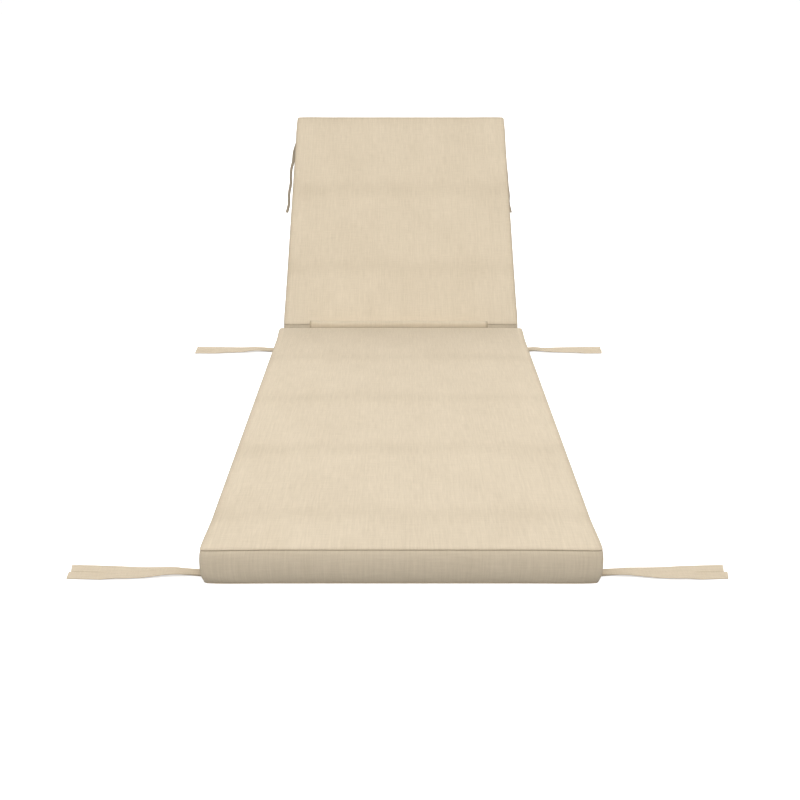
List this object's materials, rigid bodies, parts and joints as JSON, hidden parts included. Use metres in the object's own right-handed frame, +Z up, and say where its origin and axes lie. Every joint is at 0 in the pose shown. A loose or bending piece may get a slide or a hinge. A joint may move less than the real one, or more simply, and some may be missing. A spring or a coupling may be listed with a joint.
{
  "type": "sun lounger cushion",
  "caption": "Boxed foam lounger cushion: a long flat seat section and a shorter raised back section, hinged by a strip of cloth along their top edges, with fabric ties out of the side seams.",
  "frame": {"origin": "on the surface the cushion lies on, at the middle of its overall length and width, ties included", "axes": "+Z up, -Y towards the front edge of the seat section, +X to the right of someone looking along +Y"},
  "size_m": [0.9682, 1.797, 0.4817],
  "materials": {
    "cover_cloth": "matt plain-woven outdoor cloth with fine slubs",
    "tie_tape": "matt folded and stitched strips of the same cloth, a little darker"
  },
  "bodies": {
    "root": {"seat_section": "cover_cloth", "back_section": "cover_cloth", "hinge_strip": "cover_cloth", "foot_tie_left": "tie_tape", "foot_tie_right": "tie_tape", "hinge_tie_left": "tie_tape", "hinge_tie_right": "tie_tape", "head_tie_left": "tie_tape", "head_tie_right": "tie_tape"}
  },
  "joints": []
}
